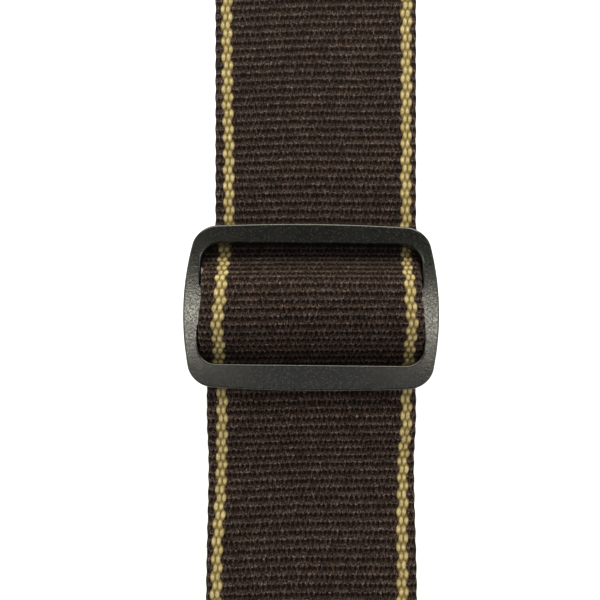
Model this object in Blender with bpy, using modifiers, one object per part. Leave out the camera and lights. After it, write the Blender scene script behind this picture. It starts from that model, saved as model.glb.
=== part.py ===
"""Guitar strap: wide webbing with a three-bar slider, a ring and two leather ends.

Metres, +Z up, length along Y. The strap lies folded on the surface Z = 0. Its top
pass carries the slider, and the slack is folded underneath. Places along the strap
are counted from the slider's middle, in STRAP coordinates (y, z), and SLIDER_Y
shifts them so that the whole object is centred on Y = 0.
"""

import math

import bmesh
import bpy
from mathutils import Matrix, Vector
from mathutils.geometry import interpolate_bezier

MM = 0.001

# Webbing
WIDTH = 50 * MM
CLOTH = 1.8 * MM
GAP = 0.3 * MM
PITCH = CLOTH + GAP
LEAN_X_LOWER = 0.1 * MM  # the strap wanders sideways as it passes the slider
LEAN_X_UPPER = 1.3 * MM
LEAN_RUN = 20 * MM
TAIL_STEP_X = -0.5 * MM  # the sewn tail sticks out a little on the left

# Slider: a flat three-bar frame, tilted by the layers under its lower bar
SLIDER_HALF_X = 30.15 * MM
SLIDER_HALF_Y = 19.85 * MM
SLIDER_THICK = 3.6 * MM
SLIDER_ROUND = 0.9 * MM
SLIDER_CORNER = 5.0 * MM
SIDE_BOW = 3.0 * MM
END_BOW = 0.9 * MM
UPPER_BAR = 4.9 * MM
LOWER_BAR = 6.1 * MM
CENTRE_BAR_HALF = 3.5 * MM
SLOT_HALF_X = 26.4 * MM
SLOT_BOW = 0.4 * MM
UPPER_SLOT_CORNERS = (1.8 * MM, 4.5 * MM)  # at the centre bar and at the outer bar
LOWER_SLOT_CORNERS = (3.4 * MM, 1.8 * MM)  # at the outer bar and at the centre bar
SLIDER_TILT = math.radians(7.2)
SLIDER_SKEW = math.radians(0.6)
BAR_Z = 14.9 * MM

# Folded slack under the top pass
PASSES = 5
FOLD_RADIUS = 2.025 * MM
FOLD_Y_LOW = -69 * MM
FOLD_Y_HIGH = 120 * MM
FOLD_RISE = 35 * MM

# Sewn end round the slider's centre bar
TAIL_Y = -27.5 * MM
LOOP_ROOM = 0.45 * MM
LOOP_END = 2.2 * MM

# Ring
RING_WIRE = 2.1 * MM
RING_HALF_X = 28.0 * MM  # to the middle of the wire
RING_LENGTH = 18 * MM
RING_CORNER = 4.5 * MM
RING_Y = -112 * MM

# Leather ends
LEATHER = 1.6 * MM
TAB_LENGTH = 95 * MM
TAB_HALF_WIDE = 26 * MM
TAB_HALF_TIP = 17 * MM
TAB_TAPER = (47 * MM, 71 * MM)
TAB_STEP = (46 * MM, 58 * MM)  # the face drops from the webbing to the backing here
TAB_OVERLAP = 45 * MM
HOLE_FROM_TIP = 18 * MM
HOLE_RADIUS = 4 * MM
SLIT_LENGTH = 12 * MM
SLIT_WIDTH = 1 * MM
RING_TAB_GAP = 12 * MM
REAR_TAB_GAP = 18 * MM

# Sewing thread
THREAD = 0.3 * MM
SEAM_INSET = 3.6 * MM
SEAM_LIFT = 0.45 * MM
RIM_DROP = 0.15 * MM  # the pressed margin that the seam runs along
SEAM_CLEAR = 4.6 * MM  # the middle stays flat up to this far from the edge
FLAT_SHARE = 0.8  # and over this share of the radius left inside that at the tip
TACK_HALF_X = 21 * MM
TACK_Y = (-26 * MM, -22 * MM)
TACK_CORNER = 1 * MM

ARC_STEP = math.radians(15)
EASE_SWAY = 6  # a rise between two level stretches bends this many times its slope
LONGEST_SPAN = 60 * MM

# Levels that follow from the sizes above
TAB_BASE = 2 * THREAD + GAP
LEG_Z = TAB_BASE + LEATHER + GAP + CLOTH / 2
RING_WRAP = RING_WIRE + GAP + CLOTH / 2
RING_Z = LEG_Z + PITCH / 2
LOOP_WRAP = SLIDER_THICK / 2 + LOOP_ROOM + CLOTH / 2
FRONT_TAB_Y = RING_Y - RING_LENGTH - RING_TAB_GAP
REAR_TAB_Y = FOLD_Y_HIGH + REAR_TAB_GAP
SLIDER_Y = -(FRONT_TAB_Y - TAB_LENGTH + REAR_TAB_Y + TAB_LENGTH) / 2

COLOURS = {
    "webbing": ((0.034, 0.025, 0.020, 1), 0.85),
    "plastic": ((0.020, 0.020, 0.017, 1), 0.4),
    "leather": ((0.040, 0.022, 0.013, 1), 0.5),
    "thread": ((0.250, 0.190, 0.090, 1), 0.6),
}


def material(name):
    colour, rough = COLOURS[name]
    made = bpy.data.materials.new(name)
    made.use_nodes = True
    shader = made.node_tree.nodes["Principled BSDF"]
    shader.inputs["Base Color"].default_value = colour
    shader.inputs["Roughness"].default_value = rough
    return made


def add(name, data, material_name, collection, pivot=(0, 0), parent=None):
    """Link data as an object whose origin is at pivot, a place in strap coordinates."""
    obj = bpy.data.objects.new(name, data)
    data.materials.append(material(material_name))
    collection.objects.link(obj)
    obj.location = (0, pivot[0] + SLIDER_Y, pivot[1])
    if parent:
        obj.parent = parent
        obj.location = (0, 0, 0)
    return obj


def level(count):
    """Height of the middle of a webbing layer with count layers flat under it."""
    return CLOTH / 2 + count * PITCH


def smooth(low, high, at):
    part = min(max((at - low) / (high - low), 0), 1)
    return part * part * (3 - 2 * part)


def lean(y):
    """Sideways place of the webbing's middle."""
    return LEAN_X_LOWER + (LEAN_X_UPPER - LEAN_X_LOWER) * smooth(-LEAN_RUN, LEAN_RUN, y)


def route(knots):
    """Points along a path in YZ through knots (y, z, heading), bent in near-circular arcs."""
    points = [Vector((0, knots[0][0], knots[0][1]))]
    for (y0, z0, a0), (y1, z1, a1) in zip(knots, knots[1:]):
        start, end = Vector((0, y0, z0)), Vector((0, y1, z1))
        turn = math.radians(abs((a1 - a0 + 180) % 360 - 180))
        reach = (end - start).length / (3 * math.cos(turn / 4) ** 2)
        out = Vector((0, math.cos(math.radians(a0)), math.sin(math.radians(a0))))
        back = Vector((0, math.cos(math.radians(a1)), math.sin(math.radians(a1))))
        sway = turn + EASE_SWAY * abs(z1 - z0) / (end - start).length
        steps = max(math.ceil(sway / ARC_STEP), math.ceil((end - start).length / LONGEST_SPAN))
        points += interpolate_bezier(start, start + out * reach, end - back * reach, end, steps + 1)[1:]
    return points


def ribbon(name, points, sides, collection, pivot=(0, 0), parent=None):
    """A webbing strip along points, with sides giving each point's sideways middle."""
    mesh = bmesh.new()
    rows = []
    for point, side in zip(points, sides):
        place = point - Vector((0, *pivot))
        rows.append([mesh.verts.new(place + Vector((side + s * WIDTH / 2, 0, 0))) for s in (-1, 1)])
    for (a, b), (c, d) in zip(rows, rows[1:]):
        mesh.faces.new((a, b, d, c))
    data = bpy.data.meshes.new(name)
    mesh.to_mesh(data)
    mesh.free()
    obj = add(name, data, "webbing", collection, pivot, parent)
    thicken(obj, CLOTH)
    return obj


def thicken(obj, thickness):
    solid = obj.modifiers.new("Thickness", "SOLIDIFY")
    solid.thickness = thickness
    solid.offset = 0
    solid.use_even_offset = True


def on_slider(y, z):
    """Strap coordinates of a place given in the tilted slider's own axes."""
    turned = Matrix.Rotation(-SLIDER_TILT, 3, "X") @ Vector((0, y, z))
    return turned.y, BAR_Z + turned.z


def wrap_knot(radius, heading):
    """Knot on the round of the given radius over the centre bar's upper edge."""
    polar = math.radians(heading) + SLIDER_TILT + math.pi / 2
    y, z = on_slider(LOOP_END + radius * math.cos(polar), radius * math.sin(polar))
    return y, z, heading


def sewn_end_knots():
    """From the tail's cut end, up over the centre bar and round it to the back layer."""
    tilt = math.degrees(SLIDER_TILT)
    rise = 38
    shift = Vector((math.sin(math.radians(rise)), -math.cos(math.radians(rise)))) * PITCH
    y, z, _ = hump_knots()[1]
    return [
        (TAIL_Y, level(5), 0),
        (-15.5 * MM, level(5), 0),
        (y + shift.x, z + shift.y, rise),
        (*on_slider(-1.5 * MM, LOOP_WRAP), -tilt),
        wrap_knot(LOOP_WRAP, -tilt),
        wrap_knot(LOOP_WRAP, -90 - tilt),
        wrap_knot(LOOP_WRAP, -172),
        (-14.5 * MM, level(4), -180),
    ]


def ring_knots():
    """Down over the folds, round the ring's near bar and back up as the front layer."""
    over_folds = level(4) + fold_lift(2)
    over_tack = level(6) + 2 * THREAD + GAP
    return [
        (FOLD_Y_LOW + FOLD_RISE, level(4), -180),
        (FOLD_Y_LOW, over_folds, -180),
        (RING_Y, RING_Z - RING_WRAP, 180),
        (RING_Y - RING_WRAP, RING_Z, 90),
        (RING_Y, RING_Z + RING_WRAP, 0),
        (FOLD_Y_LOW, over_folds + PITCH, 0),
        (-38 * MM, 12.3 * MM, 0),
        (TACK_Y[0], over_tack, 0),
        (TACK_Y[1], over_tack, 0),
    ]


def hump_knots():
    """Under the lower bar, over the centre bar and down behind the upper bar."""
    tilt = math.degrees(SLIDER_TILT)
    top = LOOP_WRAP + PITCH
    return [
        (-15.5 * MM, level(6), 0),
        (-9.0 * MM, 16.9 * MM, 38),
        (*on_slider(-1.5 * MM, top), -tilt),
        wrap_knot(top, -tilt),
        wrap_knot(top, -52),
        (11.2 * MM, 11.6 * MM, -52),
        (16.2 * MM, level(4), 0),
    ]


def fold_lift(folds):
    """How far folds that are stacked below lift a layer."""
    return folds * (2 * FOLD_RADIUS - PITCH)


def slack_knots():
    """The folded passes, from the top one down to the one on the floor and the rear end."""
    knots = []
    for index in range(PASSES):
        flat = level(PASSES - 1 - index)
        away = index % 2 == 0
        low_lift = fold_lift((PASSES - 1 - index + 1) // 2)
        high_lift = fold_lift((PASSES - 1 - index) // 2)
        low_end = [(FOLD_Y_LOW, flat + low_lift), (FOLD_Y_LOW + FOLD_RISE, flat)]
        high_end = [(FOLD_Y_HIGH - FOLD_RISE, flat), (FOLD_Y_HIGH, flat + high_lift)]
        if index == 0:
            low_end = []
        if index == PASSES - 1:
            high_end = []
        stretch = low_end + high_end
        if not away:
            stretch.reverse()
        knots += [(y, z, 0 if away else 180) for y, z in stretch]
        if index < PASSES - 1:
            y, z, _ = knots[-1]
            outward = FOLD_RADIUS if away else -FOLD_RADIUS
            knots.append((y + outward, z - FOLD_RADIUS, -90))
    tab_entry = REAR_TAB_Y - 1 * MM
    knots += [
        (FOLD_Y_HIGH + 3 * MM, level(0), 0),
        (tab_entry, LEG_Z, 0),
        (REAR_TAB_Y + TAB_OVERLAP, LEG_Z, 0),
    ]
    return knots


def main_webbing(collection):
    sewn = route(sewn_end_knots())
    rest = route([sewn_end_knots()[-1]] + ring_knots() + hump_knots() + slack_knots())
    sides = []
    for count, point in enumerate(sewn):
        fade = 1 - smooth(0.4 * len(sewn), len(sewn) - 1, count)
        sides.append(lean(point.y) + TAIL_STEP_X * fade)
    sides += [lean(point.y) for point in rest[1:]]
    ribbon("main_webbing", sewn + rest[1:], sides, collection)


def ring_webbing(collection, parent):
    """The short strip that loops the ring's far bar, its two legs going into the front end."""
    bar = RING_Y - RING_LENGTH
    inside = FRONT_TAB_Y - TAB_OVERLAP
    mouth = FRONT_TAB_Y + 1 * MM
    knots = [
        (inside, LEG_Z, 0),
        (mouth, LEG_Z, 0),
        (bar, RING_Z - RING_WRAP, 0),
        (bar + RING_WRAP, RING_Z, 90),
        (bar, RING_Z + RING_WRAP, 180),
        (mouth, LEG_Z + PITCH, 180),
        (inside, LEG_Z + PITCH, 180),
    ]
    points = route(knots)
    ribbon("ring_webbing", points, [0] * len(points), collection, (bar, RING_Z), parent)


def rounded_outline(half_x, low_y, high_y, side_bow, end_bow, corners):
    """A box outline with bowed sides and ends, its lower and upper corners rounded."""
    mid, half_y = (low_y + high_y) / 2, (high_y - low_y) / 2

    def side(sign, part):
        return Vector((sign * (half_x - side_bow * part * part), mid + part * half_y, 0))

    def end(sign, part):
        x = part * (half_x - side_bow)
        return Vector((x, mid + sign * (half_y - end_bow * part * part), 0))

    quarters = [(1, 1), (-1, 1), (-1, -1), (1, -1)]
    points = []
    for sx, sy in quarters:
        corner = corners[sy > 0]
        cut_x, cut_y = 1 - corner / half_x, 1 - corner / half_y
        tip = Vector((sx * (half_x - side_bow), mid + sy * (half_y - end_bow), 0))
        from_side, from_end = side(sx, sy * cut_y), end(sy, sx * cut_x)
        middle_side, middle_end = side(sx, 0), end(sy, 0)
        arc = interpolate_bezier(
            from_side, from_side.lerp(tip, 0.6), from_end.lerp(tip, 0.6), from_end, 7
        )
        stretch = [middle_side, side(sx, sy * cut_y * 0.55)] + arc + [end(sy, sx * cut_x * 0.5), middle_end]
        if sx * sy < 0:
            stretch.reverse()
        points += stretch[:-1]
    return points


def flat_frame(outlines, half_thick, rounding):
    """A plate mesh from an outer outline and its holes, with rounded edges."""
    curve = bpy.data.curves.new("frame outline", "CURVE")
    curve.dimensions = "2D"
    curve.fill_mode = "BOTH"
    curve.extrude = half_thick - rounding
    curve.bevel_depth = rounding
    curve.bevel_resolution = 1
    curve.offset = -rounding
    for points in outlines:
        spline = curve.splines.new("POLY")
        spline.points.add(len(points) - 1)
        for target, point in zip(spline.points, points):
            target.co = (*point, 1)
        spline.use_cyclic_u = True
    holder = bpy.data.objects.new("frame outline", curve)
    bpy.context.scene.collection.objects.link(holder)
    graph = bpy.context.evaluated_depsgraph_get()
    data = bpy.data.meshes.new_from_object(holder.evaluated_get(graph))
    bpy.data.objects.remove(holder)
    mesh = bmesh.new()
    mesh.from_mesh(data)
    bmesh.ops.remove_doubles(mesh, verts=mesh.verts, dist=0.00001)
    bmesh.ops.recalc_face_normals(mesh, faces=mesh.faces)
    mesh.to_mesh(data)
    mesh.free()
    data.materials.clear()
    return data


def slider(collection):
    corners = (SLIDER_CORNER, SLIDER_CORNER)
    low, high = LOWER_BAR - SLIDER_HALF_Y, SLIDER_HALF_Y - UPPER_BAR
    outer = rounded_outline(SLIDER_HALF_X, -SLIDER_HALF_Y, SLIDER_HALF_Y, SIDE_BOW, END_BOW, corners)
    lower = rounded_outline(SLOT_HALF_X, low, -CENTRE_BAR_HALF, SLOT_BOW, 0, LOWER_SLOT_CORNERS)
    upper = rounded_outline(SLOT_HALF_X, CENTRE_BAR_HALF, high, SLOT_BOW, 0, UPPER_SLOT_CORNERS)
    data = flat_frame([outer, lower, upper], SLIDER_THICK / 2, SLIDER_ROUND)
    obj = add("slider", data, "plastic", collection, (0, BAR_Z))
    obj.rotation_euler = (-SLIDER_TILT, 0, -SLIDER_SKEW)


def tube(name, points, radius, material_name, collection, pivot, parent=None):
    """A closed loop of round section through points, given in strap coordinates."""
    curve = bpy.data.curves.new(name, "CURVE")
    curve.dimensions = "3D"
    curve.bevel_depth = radius
    curve.bevel_resolution = 2
    spline = curve.splines.new("POLY")
    spline.points.add(len(points) - 1)
    for target, point in zip(spline.points, points):
        target.co = (*(point - Vector((0, *pivot))), 1)
    spline.use_cyclic_u = True
    return add(name, curve, material_name, collection, pivot, parent)


def ring(collection):
    corners = (RING_CORNER, RING_CORNER)
    outline = rounded_outline(RING_HALF_X, RING_Y - RING_LENGTH, RING_Y, 0, 0, corners)
    points = [point + Vector((0, 0, RING_Z)) for point in outline]
    tube("ring", points, RING_WIRE, "plastic", collection, (RING_Y, RING_Z))


def tab_half_width(along):
    """Half width of a leather end, counted from its webbing end to its tip."""
    tip_start = TAB_LENGTH - TAB_HALF_TIP
    if along > tip_start:
        return math.sqrt(max(TAB_HALF_TIP**2 - (along - tip_start) ** 2, 0))
    return TAB_HALF_WIDE + (TAB_HALF_TIP - TAB_HALF_WIDE) * smooth(*TAB_TAPER, along)


def tab_stations(start, end):
    """Places along a leather end where its outline or its height bends."""
    tip_start = TAB_LENGTH - TAB_HALF_TIP
    bends = [TAB_STEP[0] + (TAB_TAPER[1] - TAB_STEP[0]) * n / 9 for n in range(10)]
    reach = math.asin((end - tip_start) / TAB_HALF_TIP)
    bends += [tip_start + TAB_HALF_TIP * math.sin(reach * n / 7) for n in range(8)]
    return [start] + [place for place in bends if start < place]


def tab_flat(along):
    """Half width of a leather end's flat middle, and how far its face has dropped there."""
    tip_start = TAB_LENGTH - TAB_HALF_TIP
    inner = TAB_HALF_TIP - SEAM_CLEAR
    flat_end = tip_start + FLAT_SHARE * inner
    if along <= tip_start:
        return tab_half_width(along) - SEAM_CLEAR, 0
    if along <= flat_end:
        return math.sqrt(inner**2 - (along - tip_start) ** 2), 0
    return tab_half_width(along) / 3, RIM_DROP * smooth(flat_end, TAB_LENGTH, along)


def face_height(along, raised):
    """Underside of a face leather: raised over the webbing, down on the backing past it."""
    low = TAB_BASE + LEATHER + GAP
    return raised + (low - raised) * smooth(*TAB_STEP, along)


def leather(name, origin, direction, height, collection, pivot, parent=None):
    """One leather layer of an end, with its button hole and slit cut by keyhole cutters."""
    mesh = bmesh.new()
    rows = []
    for along in tab_stations(0, TAB_LENGTH - 0.2 * MM):
        half = tab_half_width(along)
        flat, drop = tab_flat(along)
        y, z = origin + direction * along - pivot[0], height(along) + LEATHER / 2 - pivot[1]
        across = [(-half, RIM_DROP), (-flat, drop), (flat, drop), (half, RIM_DROP)]
        rows.append([mesh.verts.new((x, y, z - down)) for x, down in across])
    for near, far in zip(rows, rows[1:]):
        for n in range(3):
            mesh.faces.new((near[n], near[n + 1], far[n + 1], far[n]))
    data = bpy.data.meshes.new(name)
    mesh.to_mesh(data)
    mesh.free()
    obj = add(name, data, "leather", collection, pivot, parent)
    thicken(obj, LEATHER)
    for cutter in keyhole(name, origin, direction):
        cut = obj.modifiers.new("Keyhole", "BOOLEAN")
        cut.operation = "DIFFERENCE"
        cut.object = cutter
    return obj


def keyhole(name, origin, direction):
    """Cutters for the button hole and for the slit that lets the button's head through."""
    middle = TAB_LENGTH - HOLE_FROM_TIP
    place = Vector((0, origin + direction * middle + SLIDER_Y, 0))
    bpy.ops.mesh.primitive_cylinder_add(vertices=24, radius=HOLE_RADIUS, depth=0.03, location=place)
    hole = bpy.context.object
    slit_reach = HOLE_RADIUS + SLIT_LENGTH
    slit_place = place - Vector((0, direction * slit_reach / 2, 0))
    bpy.ops.mesh.primitive_cube_add(size=1, location=slit_place)
    slit = bpy.context.object
    slit.scale = (SLIT_WIDTH, slit_reach, 0.03)
    for cutter, kind in ((hole, "hole"), (slit, "slit")):
        cutter.name = f"{name} {kind}"
        for held in list(cutter.users_collection):
            held.objects.unlink(cutter)
        bpy.data.collections["cutters"].objects.link(cutter)
        cutter.hide_render = True
        cutter.display_type = "WIRE"
    return hole, slit


def seam(name, origin, direction, height, collection, pivot, parent=None):
    """The thread of a seam that follows a leather end's outline, as one closed loop."""
    stations = tab_stations(SEAM_INSET, TAB_LENGTH - SEAM_INSET)
    stations = [place for place in stations if place <= TAB_LENGTH - SEAM_INSET - 0.1 * MM]
    right = []
    for along in stations:
        tip_start = TAB_LENGTH - TAB_HALF_TIP
        half = tab_half_width(along) - SEAM_INSET
        if along > tip_start:
            inner = TAB_HALF_TIP - SEAM_INSET
            half = math.sqrt(max(inner**2 - (along - tip_start) ** 2, 0))
        right.append(Vector((half, origin + direction * along, height(along))))
    left = [Vector((-point.x, point.y, point.z)) for point in reversed(right)]
    tube(name, right + left, THREAD, "thread", collection, pivot, parent)


def leather_end(prefix, origin, direction, raised, collection, pivot=(0, 0), parent=None):
    """Face and backing leather, sewn together round the end of a webbing."""

    def face(along):
        return face_height(along, raised)

    def backing(along):
        return TAB_BASE

    def above_face(along):
        return face(along) + LEATHER + SEAM_LIFT + THREAD

    def below_backing(along):
        return THREAD

    leather(f"{prefix}_tab_face", origin, direction, face, collection, pivot, parent)
    leather(f"{prefix}_tab_backing", origin, direction, backing, collection, pivot, parent)
    seam(f"{prefix}_tab_needle_thread", origin, direction, above_face, collection, pivot, parent)
    seam(f"{prefix}_tab_bobbin_thread", origin, direction, below_backing, collection, pivot, parent)


def slider_end_thread(collection):
    """The tack that closes the webbing's loop round the centre bar, on top of its tail."""
    height = level(5) + CLOTH / 2 + GAP + THREAD
    outline = rounded_outline(TACK_HALF_X, *TACK_Y, 0, 0, (TACK_CORNER, TACK_CORNER))
    points = [point + Vector((LEAN_X_LOWER + TAIL_STEP_X, 0, height)) for point in outline]
    tube("slider_end_thread", points, THREAD, "thread", collection, (0, BAR_Z))


def main():
    for old in list(bpy.data.objects):
        bpy.data.objects.remove(old)
    strap = bpy.data.collections.new("guitar_strap")
    cutters = bpy.data.collections.new("cutters")
    for group in (strap, cutters):
        bpy.context.scene.collection.children.link(group)
    cutters.hide_render = True

    main_webbing(strap)
    slider(strap)
    slider_end_thread(strap)
    ring(strap)

    tab_axis = (RING_Y - RING_LENGTH, RING_Z)
    front = bpy.data.objects.new("front_tab_pivot", None)
    front.location = (0, tab_axis[0] + SLIDER_Y, tab_axis[1])
    strap.objects.link(front)
    ring_webbing(strap, front)
    face_over_two = LEG_Z + PITCH + CLOTH / 2 + GAP
    leather_end("front", FRONT_TAB_Y, -1, face_over_two, strap, tab_axis, front)
    face_over_one = LEG_Z + CLOTH / 2 + GAP
    leather_end("rear", REAR_TAB_Y, 1, face_over_one, strap)


main()
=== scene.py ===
"""Looks of the folded guitar strap: woven webbing, moulded slider and ring, sewn leather ends.

Metres, +Z up, length along Y. Places along the strap are counted from the slider's middle,
and SLIDER_Y shifts them into the frame.
"""

import math

import bmesh
import bpy
import numpy as np
from mathutils import Matrix, Vector
from mathutils.geometry import interpolate_bezier


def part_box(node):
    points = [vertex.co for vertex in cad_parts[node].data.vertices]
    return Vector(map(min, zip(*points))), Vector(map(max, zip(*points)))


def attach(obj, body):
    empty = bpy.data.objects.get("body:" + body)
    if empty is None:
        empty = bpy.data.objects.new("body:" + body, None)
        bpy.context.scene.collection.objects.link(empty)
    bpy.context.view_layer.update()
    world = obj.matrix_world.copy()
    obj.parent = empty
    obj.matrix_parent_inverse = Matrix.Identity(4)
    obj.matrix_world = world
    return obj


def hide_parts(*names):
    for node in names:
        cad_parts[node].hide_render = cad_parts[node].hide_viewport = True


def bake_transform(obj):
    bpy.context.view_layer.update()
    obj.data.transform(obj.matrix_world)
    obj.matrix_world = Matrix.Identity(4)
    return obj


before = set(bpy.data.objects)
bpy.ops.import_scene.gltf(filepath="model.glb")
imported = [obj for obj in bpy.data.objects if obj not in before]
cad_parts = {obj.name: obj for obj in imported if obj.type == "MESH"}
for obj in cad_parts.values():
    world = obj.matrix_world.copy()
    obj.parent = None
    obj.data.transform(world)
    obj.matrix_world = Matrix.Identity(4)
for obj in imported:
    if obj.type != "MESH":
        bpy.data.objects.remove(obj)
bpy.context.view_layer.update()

MM = 0.001
SLIDER_LOW, SLIDER_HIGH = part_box("slider")
SLIDER_Y = (SLIDER_LOW.y + SLIDER_HIGH.y) / 2

# Webbing and its route, the same as in the CAD part
WIDTH = 50 * MM
CLOTH = 1.8 * MM
GAP = 0.3 * MM
PITCH = CLOTH + GAP
LEAN_X_LOWER = 0.1 * MM
LEAN_X_UPPER = 1.3 * MM
LEAN_RUN = 20 * MM
TAIL_STEP_X = -0.5 * MM
TAIL_STEP_RUN = (20 * MM, 60 * MM)  # from the tail's cut end
PASSES = 5
FOLD_RADIUS = 2.025 * MM
FOLD_Y_LOW = -69 * MM
FOLD_Y_HIGH = 120 * MM
FOLD_RISE = 35 * MM
TAIL_Y = -27.5 * MM
ROUTE_STEPS = 48  # from knot to knot

# Slider, as in the CAD part but for its finer edges and the lower slot's rounder corners
SLIDER_HALF_X = 30.15 * MM
SLIDER_HALF_Y = 19.85 * MM
SLIDER_THICK = 3.6 * MM
SLIDER_ROUND = 0.45 * MM
SLIDER_CORNER = 5.0 * MM
SIDE_BOW = 3.0 * MM
END_BOW = 0.9 * MM
UPPER_BAR = 4.9 * MM
LOWER_BAR = 6.1 * MM
CENTRE_BAR_HALF = 3.5 * MM
SLOT_HALF_X = 26.4 * MM
SLOT_BOW = 0.4 * MM
UPPER_SLOT_CORNERS = (1.8 * MM, 4.5 * MM)  # at the centre bar and at the outer bar
LOWER_SLOT_CORNERS = (4.2 * MM, 1.8 * MM)  # at the outer bar and at the centre bar
SLIDER_TILT = math.radians(7.2)
SLIDER_SKEW = math.radians(0.6)
BAR_Z = 14.9 * MM
LOOP_ROOM = 0.45 * MM
LOOP_WRAP = SLIDER_THICK / 2 + LOOP_ROOM + CLOTH / 2
LOOP_END = 2.2 * MM

# Ring, leather ends and thread, as in the CAD part
THREAD = 0.3 * MM
LEATHER = 1.6 * MM
TAB_BASE = 2 * THREAD + GAP
LEG_Z = TAB_BASE + LEATHER + GAP + CLOTH / 2
RING_WIRE = 2.1 * MM
RING_HALF_X = 28 * MM
RING_CORNER = 4.5 * MM
RING_Y = -112 * MM
RING_Z = LEG_Z + PITCH / 2
RING_LENGTH = 18 * MM
RING_WRAP = RING_WIRE + GAP + CLOTH / 2
RING_TAB_GAP = 12 * MM
REAR_TAB_GAP = 18 * MM
FRONT_TAB_Y = RING_Y - RING_LENGTH - RING_TAB_GAP
REAR_TAB_Y = FOLD_Y_HIGH + REAR_TAB_GAP
TAB_OVERLAP = 45 * MM
TAB_LENGTH = 95 * MM
TAB_HALF_WIDE = 26 * MM
TAB_HALF_TIP = 17 * MM
TAB_TAPER = (47 * MM, 71 * MM)
TAB_STEP = (46 * MM, 58 * MM)
HOLE_FROM_TIP = 18 * MM
HOLE_RADIUS = 4 * MM
SLIT_LENGTH = 12 * MM
SLIT_WIDTH = 1 * MM
SEAM_INSET = 3.6 * MM
TACK_HALF_X = 21 * MM
TACK_Y = (-26 * MM, -22 * MM)

# Finer shape of the leather ends and of the stitches
TAB_CORNER = 2.5 * MM
LEATHER_ROUND = 0.4 * MM
LEATHER_CELL = 0.9 * MM  # a layer is cut into cells of this size, so that it can bend and take a groove
GROOVE_DEPTH = 0.22 * MM
GROOVE_HALF = 0.75 * MM
BURNISHED_EDGE = (0.15 * MM, 0.9 * MM)  # fades away between these, from the outline inwards
BURNISHED_HOLE = (0.1 * MM, 1.0 * MM)  # and between these, from the button hole outwards
STITCH = 3.3 * MM
TACK_STITCH = 2.4 * MM
STITCH_SINK = 0.1 * MM

# Weave: weft ribs across, and warp ends that pass over every other rib
RIB = 2.0 * MM
BUMP = 1.24 * MM  # two warp ends
BUMP_WIDE = 0.94  # share of its room that a bump fills across
BUMP_LONG = 1.5  # and along, where it runs under its neighbours
RELIEF = 0.36 * MM
SELVAGE = 1.8 * MM  # the relief is lower in this margin
EDGE_RELIEF = 0.4  # share of the relief on the round edges
EDGE_SCALLOP = 0.08 * MM
ENDS_IN_STRIPE = 4
STRIPE_IN = 2.5 * MM  # from the edge to the stripe's middle
STRIPE_STARTS = [
    round(place / (BUMP / 2)) - ENDS_IN_STRIPE // 2 for place in (STRIPE_IN, WIDTH - STRIPE_IN)
]
STRIPE_DRIFT = (  # place along the strap, then how far the left and right stripes stray to the right
    (-70 * MM, 0.3 * MM, -1.1 * MM),
    (-19 * MM, 1.75 * MM, 0.1 * MM),
    (-13 * MM, 2.9 * MM, -1.3 * MM),
    (-3 * MM, 2.3 * MM, -0.5 * MM),
    (5 * MM, 2.5 * MM, -0.6 * MM),
    (14 * MM, 3.5 * MM, -1.1 * MM),
    (22 * MM, 1.4 * MM, -0.15 * MM),
    (76 * MM, 0.75 * MM, 0.0 * MM),
)
RIB_BOW = 0.85 * MM  # each rib climbs this far from the left edge to the middle
RIB_BOW_LEAST = 0.15  # share of that bow which is left in the slider
RIB_BOW_RUN = (12 * MM, 45 * MM)
RIB_PRESS = 3.5 * MM  # the ribs lie closer over the slider's bar, by this much in all
RIB_PRESS_RUN = (-18 * MM, 16 * MM)

# Cloth in the slider, which it fills from wall to wall
SPREAD_START = (-18 * MM, -12.5 * MM)
SPREAD_STOP = (14.5 * MM, 20 * MM)
SPREAD_HALF = 26.25 * MM
SPREAD_MARGIN = (8 * MM, 25 * MM)  # the cloth spreads more and more from here out to its edge
WAIST = 0.95 * MM  # the edge lies this much further in at WAIST_Y
WAIST_Y = 2.5 * MM
WAIST_REACH = 6.5 * MM
TUCK = 0.8 * MM  # and this much further out beneath the outer bars
TUCK_RUN = (8 * MM, 12 * MM)
# Painted shade: the outer bars' shadow, painted into the cloth's colour beside them
PAINTED_SHADE_SHARE = 0.3  # the cloth is darker by this share beside the outer bars
PAINTED_SHADE_START = (6 * MM, 12 * MM)
PAINTED_SHADE_STOP = (17 * MM, 22 * MM)

# Mesh of the webbing: points over its top and its bottom, and its rows' closest and widest spacing
VIEW_HALF = 80 * MM  # the camera sees this far along the strap, so the rows are closest there
FOLD_ZONE = 6 * MM
FINE_MESH = ((241, 61), (0.4 * MM, 0.8 * MM))
SEWN_MESH = ((81, 41), (0.8 * MM, 0.8 * MM))
SLACK_MESH = ((81, 41), (0.8 * MM, 1.6 * MM))
RING_MESH = ((121, 61), (0.5 * MM, 0.5 * MM))

# Colours
BROWN = (0.069, 0.0535, 0.0495)
GOLD = (0.405, 0.338, 0.187)
# Painted shade between the bumps, by the two sets of exponents below
BROWN_SHADOW = (0.5, 0.65, 0.8)  # how fast red, green and blue darken down between the bumps
GOLD_SHADOW = (1.5, 1.7, 2.5)
# Painted light and shade through each rib's period: a highlight line on its lit side, then shade below it
RIB_LIGHT_AND_SHADE = ((0.0, 1.0), (0.13, 0.58), (0.42, 0.36), (0.58, 0.08), (0.86, 0.04), (0.95, 0.7))
PLASTIC = (0.0002, 0.0002, 0.0001, 1)
# Colour of the painted glints in the moulding's grain
PLASTIC_GLINT = (0.0165, 0.017, 0.015, 1)
PLASTIC_ROUGH = 0.175
LEATHER_DARK = (0.026, 0.0125, 0.0065, 1)
LEATHER_LIGHT = (0.058, 0.029, 0.0150, 1)
LEATHER_PORE = (0.010, 0.005, 0.003, 1)
LEATHER_GROOVE = (0.012, 0.006, 0.0035, 1)
LEATHER_RIM = (0.011, 0.0065, 0.0045, 1)
SEAM_THREAD = (0.33, 0.25, 0.11, 1)
TACK_THREAD = (0.02, 0.015, 0.012, 1)

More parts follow.
